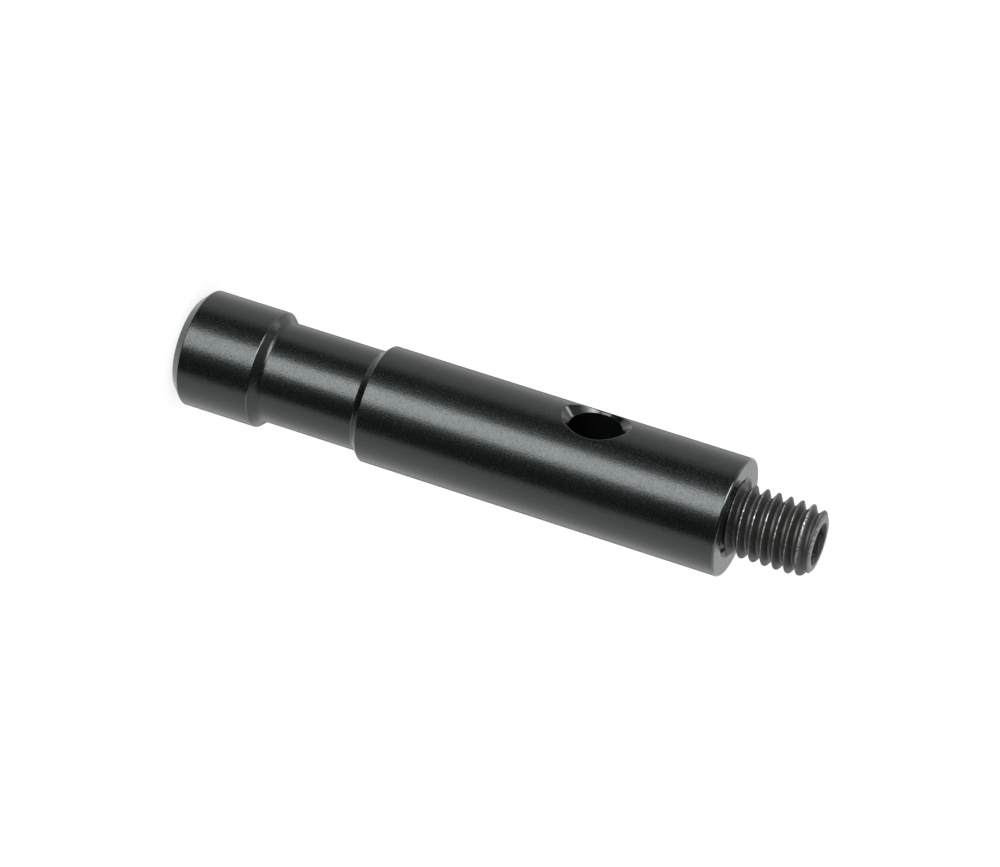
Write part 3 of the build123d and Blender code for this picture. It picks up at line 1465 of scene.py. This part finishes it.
@dataclass(frozen=True)
class Studio:
    """Camera, lamp, floor and light tent.

    Bearings are degrees from the camera's own bearing, anticlockwise from above.
    """

    camera_bearing: float = -122.297
    camera_elevation: float = 16.3078
    camera_roll: float = 107.698
    camera_distance: float = 0.530083
    clip: Pair = (0.01, 50.0)
    aim: Triple = (-0.000934, 0.000591, 0.044041)
    lens: float = 146.6945
    sensor: float = 36.0
    key_bearing: float = -11.5
    key_elevation: float = -16.0
    key_distance: float = 0.65
    key_size: Pair = (0.38, 0.34)
    key_radiance: float = 6.9
    diffuse_world: float = 0.5
    floor_size: float = 8.0
    floor_colour: Triple = (0.6, 0.6, 0.6)
    floor_glow: float = 0.78
    tent: LightTent = LightTent()

    def build(self) -> None:
        """Makes the whole studio round the pin, under the plain view transform."""
        bpy.context.scene.view_settings.view_transform = "Standard"
        self.add_camera()
        self.add_world()
        self.add_key()
        self.add_floor()
        self.add_stage(self.tent.mesh(self.camera_bearing), self.tent.material(), Role.TENT)

    def direction(self, bearing: float, elevation: float) -> Vector:
        """Unit vector from the pin towards a bearing and elevation, in degrees."""
        return Vector(towards(math.radians(self.camera_bearing + bearing), math.radians(elevation)))

    def add_camera(self) -> None:
        """Places the camera, rolled so that the pin lies across the picture."""
        data = bpy.data.cameras.new("camera")
        data.lens = self.lens
        data.sensor_width = self.sensor
        data.clip_start, data.clip_end = self.clip
        camera = bpy.data.objects.new("camera", data)
        back = self.direction(0.0, self.camera_elevation)
        level = (-back).to_track_quat("-Z", "Y").to_matrix()
        turn = level @ Matrix.Rotation(math.radians(self.camera_roll), 3, "Z")
        place = Vector(self.aim) + back * self.camera_distance
        camera.matrix_world = Matrix.Translation(place) @ turn.to_4x4()
        bpy.context.scene.collection.objects.link(camera)
        bpy.context.scene.camera = camera

    def add_world(self) -> None:
        """White surroundings, softer for diffuse light. Reflections see the tent in their place."""
        world = bpy.data.worlds.new("studio")
        world.use_nodes = True
        bpy.context.scene.world = world
        build = NodeBuilder(world.node_tree)
        background = world.node_tree.nodes["Background"]
        build.put((1.0, 1.0, 1.0), background.inputs["Color"])
        path = build.add("ShaderNodeLightPath").outputs
        seen = build.math("MAXIMUM", path["Is Camera Ray"], path["Is Glossy Ray"])
        seen = build.math("MAXIMUM", seen, path["Is Transmission Ray"])
        strength = build.math("MULTIPLY_ADD", seen, 1 - self.diffuse_world, self.diffuse_world)
        build.put(strength, background.inputs["Strength"])
        world.cycles_visibility.glossy = False

    def add_key(self) -> None:
        """The softbox above and to the left of the camera in the picture."""
        data = bpy.data.lights.new("key", "AREA")
        data.shape = "RECTANGLE"
        data.size, data.size_y = self.key_size
        data.energy = self.key_radiance * math.prod(self.key_size) * math.pi
        key = bpy.data.objects.new("key", data)
        way = self.direction(self.key_bearing, self.key_elevation)
        key.location = Vector(self.aim) + way * self.key_distance
        key.rotation_euler = (-way).to_track_quat("-Z", "Y").to_euler()
        key.visible_camera = False
        bpy.context.scene.collection.objects.link(key)

    def add_stage(self, mesh: bpy.types.Mesh, material: bpy.types.Material, role: Role) -> None:
        """Puts a piece of the studio into the scene, and sets which rays see it.

        Args:
            mesh: its mesh, whose name it takes.
            material: what it is made of.
            role: what it does, which says which rays see it.
        """
        mesh.materials.append(material)
        piece = bpy.data.objects.new(mesh.name, mesh)
        bpy.context.scene.collection.objects.link(piece)
        piece.visible_shadow = False
        if role is Role.FLOOR:
            piece.visible_glossy = False
        else:
            piece.visible_camera = False
            piece.visible_diffuse = False
            piece.visible_transmission = False

    def add_floor(self) -> None:
        """A white floor that shows the pin's soft shadow faintly."""
        material, build, surface = bare_material("floor_white")
        diffuse = build.add("ShaderNodeBsdfDiffuse")
        build.put(self.floor_colour, diffuse.inputs["Color"])
        glow = build.add("ShaderNodeEmission")
        seen = build.add("ShaderNodeLightPath").outputs["Is Camera Ray"]
        build.put(build.product(seen, self.floor_glow), glow.inputs["Strength"])
        both = build.add("ShaderNodeAddShader")
        build.put(diffuse.outputs["BSDF"], both.inputs[0])
        build.put(glow.outputs["Emission"], both.inputs[1])
        build.put(both.outputs["Shader"], surface)
        half = self.floor_size / 2
        mesh = bpy.data.meshes.new("floor")
        corners = [(-half, -half, 0), (half, -half, 0), (half, half, 0), (-half, half, 0)]
        mesh.from_pydata(corners, [], [(0, 1, 2, 3)])
        self.add_stage(mesh, material, Role.FLOOR)


def sizes_from_frame(frame: dict) -> tuple[PinBody, SetScrew]:
    """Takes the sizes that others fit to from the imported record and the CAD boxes.


    Returns:
        The body and the screw, with their sizes in millimetres.
    """
    mounts = {mount["name"]: mount for mount in frame["record"]["mounts"]}
    reach = {name: mount["dims"].get("r_mm") for name, mount in mounts.items()}
    height = {name: mount["pos_m"][2] / MM for name, mount in mounts.items()}
    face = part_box("pin_body")[1].z / MM
    foot, top = (corner.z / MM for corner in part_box("set_screw"))
    pitch = INCH / THREADS_PER_INCH
    first_crest = face + FIRST_CREST_ABOVE_FACE
    stud = Thread(
        pitch=pitch,
        first_crest=first_crest,
        crest_reach=reach["threaded_stud"],
        root_reach=3.79,
        crest_flat=0.155,
        crest_rounding=0.075,
        root_rounding=0.1,
    )
    tapped = Thread(
        pitch=pitch,
        first_crest=first_crest,
        crest_reach=reach["threaded_stud"] + TAPPED_CLEARANCE,
        root_reach=4.03,
        crest_flat=pitch / 8 + TAPPED_FLAT_CLEARANCE,
        crest_rounding=0.03,
        root_rounding=0.03,
    )
    body = PinBody(
        reach=reach["spigot"],
        length=face,
        neck_reach=reach["lock_groove"],
        groove_middle=height["lock_groove"],
        hole=CrossHole(height=height["cross_hole"], reach=reach["cross_hole"], barrel=reach["spigot"]),
        tapped=tapped,
    )
    return body, SetScrew(foot=foot, top=top, thread=stud)


def finish_piece(piece: bpy.types.Object, node: str, material: bpy.types.Material) -> None:
    """Dresses a piece, puts it on the root body and lets it stand for its CAD node.

    Args:
        piece: the finished piece.
        node: the CAD node that it replaces.
        material: its material.
    """
    piece.data.materials.append(material)
    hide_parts(node)
    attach(piece, "root")


def main() -> None:
    """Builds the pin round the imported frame, and the studio round the pin."""
    logging.basicConfig(level=logging.INFO, format="%(message)s")
    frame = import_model()
    effects = Effects()
    for part in sizes_from_frame(frame):
        piece = part.build()
        part.dress(piece, effects)
        LOG.info("%s: %d faces", piece.name, len(piece.data.polygons))
    Studio().build()


if __name__ == "__main__":
    main()
